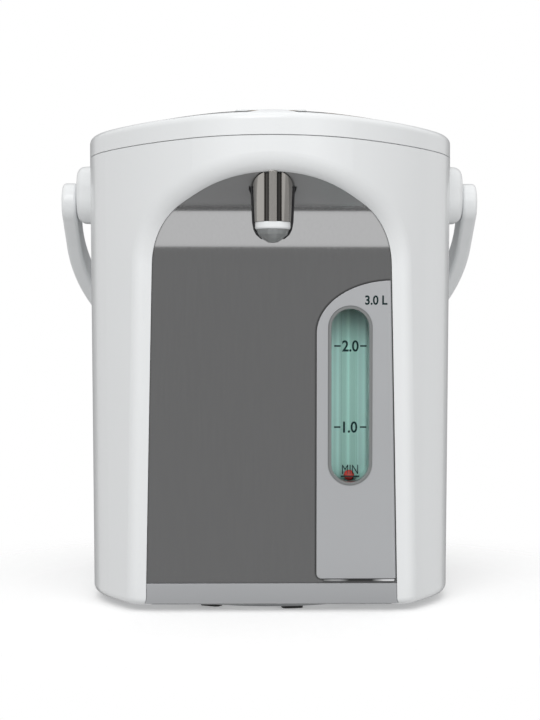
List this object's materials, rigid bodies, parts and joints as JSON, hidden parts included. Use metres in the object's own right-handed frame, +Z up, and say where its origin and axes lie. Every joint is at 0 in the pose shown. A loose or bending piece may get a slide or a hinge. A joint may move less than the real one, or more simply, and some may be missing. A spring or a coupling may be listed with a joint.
{
  "type": "electric thermo pot",
  "caption": "Electric hot water dispenser pot with overhanging spout, water gauge, hinged lid, swinging bail handle and swivel base",
  "frame": {"origin": "on the table plane, under the centre of the overall box with the handle hanging at rest behind the pot", "axes": "+Z up; the spout and front panel face -Y; +X is to the right of someone facing the back, that is the right side of the front view"},
  "size_m": [0.2776, 0.2914, 0.3106],
  "materials": {
    "white_plastic": "glossy moulded plastic",
    "grey_plastic": "moulded",
    "black_plastic": "moulded",
    "silver_sheet": "polished dark silver",
    "pale_silver": "satin",
    "bezel_grey": "satin",
    "clear_window": "clear",
    "tube_glass": "clear",
    "green_backing": "dark green",
    "red_float": "glossy",
    "chrome_trim": "bright",
    "frosted_nozzle": "frosted",
    "silicone": "silicone",
    "stainless": "satin",
    "felt": "fibre felt",
    "heater_metal": "plain",
    "motor_steel": "plain",
    "pin_steel": "plain",
    "dark_fascia": "dark glossy",
    "lcd_grey": "display",
    "amber_lens": "translucent",
    "circuit_board": "board",
    "gold_key": "bronze tone",
    "grey_key": "satin",
    "rubber_pad": "matt",
    "brass_contact": "plated"
  },
  "bodies": {
    "swivel_base": {"swivel_disc": "grey_plastic", "foot_pads": "rubber_pad", "swivel_washer": "grey_plastic"},
    "lid": {"lid_cover": "white_plastic", "lid_base": "grey_plastic", "lid_inner_plate": "stainless", "lid_gasket": "silicone", "steam_vent_cap": "grey_plastic", "lever_pin": "pin_steel"},
    "lever": {"lid_lever": "white_plastic"},
    "latch": {"lid_latch": "grey_plastic"},
    "handle": {"handle": "white_plastic"},
    "dispense_key": {"dispense_button": "gold_key"},
    "unlock_key": {"unlock_button": "grey_key"},
    "reboil_key": {"reboil_button": "grey_key"},
    "temperature_key": {"temperature_button": "grey_key"},
    "timer_key": {"timer_button": "grey_key"},
    "level_float": {"float_ball": "red_float"},
    "impeller": {"pump_impeller": "white_plastic"},
    "rotor": {"motor_rotor": "motor_steel"},
    "pot": {"outer_casing": "white_plastic", "front_liner": "grey_plastic", "top_frame": "white_plastic", "recess_panel": "silver_sheet", "base_strip": "pale_silver", "gauge_plate": "pale_silver", "gauge_bezel": "bezel_grey", "gauge_pane": "clear_window", "gauge_trough": "green_backing", "gauge_tube": "tube_glass", "spout_housing": "black_plastic", "spout_cover": "chrome_trim", "nozzle_ring": "white_plastic", "nozzle_tip": "frosted_nozzle", "outlet_elbow": "grey_plastic", "riser_hose": "silicone", "container_body": "stainless", "container_neck": "stainless", "insulation_sleeve": "felt", "heater": "heater_metal", "thermostat": "black_plastic", "thermal_fuse": "grey_plastic", "heat_shield": "heater_metal", "pump_housing": "grey_plastic", "pump_motor": "motor_steel", "pump_inlet_hose": "silicone", "pump_outlet_hose": "silicone", "control_fascia": "dark_fascia", "lcd_window": "clear_window", "lcd_module": "lcd_grey", "indicator_lenses": "amber_lens", "control_board": "circuit_board", "lid_hinge_pin": "pin_steel", "ear_left": "white_plastic", "ear_right": "white_plastic", "base_plate": "grey_plastic", "base_screws": "pin_steel", "power_board": "circuit_board", "power_socket": "black_plastic", "socket_contacts": "brass_contact"}
  },
  "joints": [
    {"name": "swivel_turn", "type": "hinge", "parent": "swivel_base", "child": "pot", "pos_m": [0, 0.00837, 0.007], "axis": [0, 0, 1], "continuous": true},
    {"name": "lid_hinge", "type": "hinge", "parent": "pot", "child": "lid", "pos_m": [0, 0.10307, 0.2976], "axis": [-1, 0, 0], "range_deg": [0, 80]},
    {"name": "lever_hinge", "type": "hinge", "parent": "lid", "child": "lever", "pos_m": [0, -0.03188, 0.3064], "axis": [-1, 0, 0], "range_deg": [0, 30], "stiffness_Nm_per_rad": 0.05},
    {"name": "latch_slide", "type": "slide", "parent": "lid", "child": "latch", "axis": [0, 1, 0], "range_m": [0, 0.0045]},
    {"name": "handle_swing", "type": "hinge", "parent": "pot", "child": "handle", "pos_m": [0, 0.00837, 0.258], "axis": [1, 0, 0], "range_deg": [0, 140]},
    {"name": "dispense_key_press", "type": "slide", "parent": "pot", "child": "dispense_key", "axis": [0, 0, -1], "range_m": [0, 0.0015], "stiffness_N_per_m": 500},
    {"name": "unlock_key_press", "type": "slide", "parent": "pot", "child": "unlock_key", "axis": [0, 0, -1], "range_m": [0, 0.0015], "stiffness_N_per_m": 500},
    {"name": "reboil_key_press", "type": "slide", "parent": "pot", "child": "reboil_key", "axis": [0, 0, -1], "range_m": [0, 0.0015], "stiffness_N_per_m": 500},
    {"name": "temperature_key_press", "type": "slide", "parent": "pot", "child": "temperature_key", "axis": [0, 0, -1], "range_m": [0, 0.0015], "stiffness_N_per_m": 500},
    {"name": "timer_key_press", "type": "slide", "parent": "pot", "child": "timer_key", "axis": [0, 0, -1], "range_m": [0, 0.0015], "stiffness_N_per_m": 500},
    {"name": "float_rise", "type": "slide", "parent": "pot", "child": "level_float", "axis": [0, -0.0384, 0.9993], "range_m": [0, 0.1]},
    {"name": "motor_spin", "type": "hinge", "parent": "pot", "child": "rotor", "pos_m": [0.024, -0.00963, 0.01], "axis": [0, 0, 1], "continuous": true},
    {"name": "impeller_spin", "type": "hinge", "parent": "pot", "child": "impeller", "pos_m": [0.024, -0.00963, 0.029], "axis": [0, 0, 1], "continuous": true}
  ],
  "couplings": [
    {"joint": "latch_slide", "follows": "lever_hinge", "m_per_rad": 0.008594},
    {"joint": "impeller_spin", "follows": "motor_spin", "ratio": 1}
  ]
}
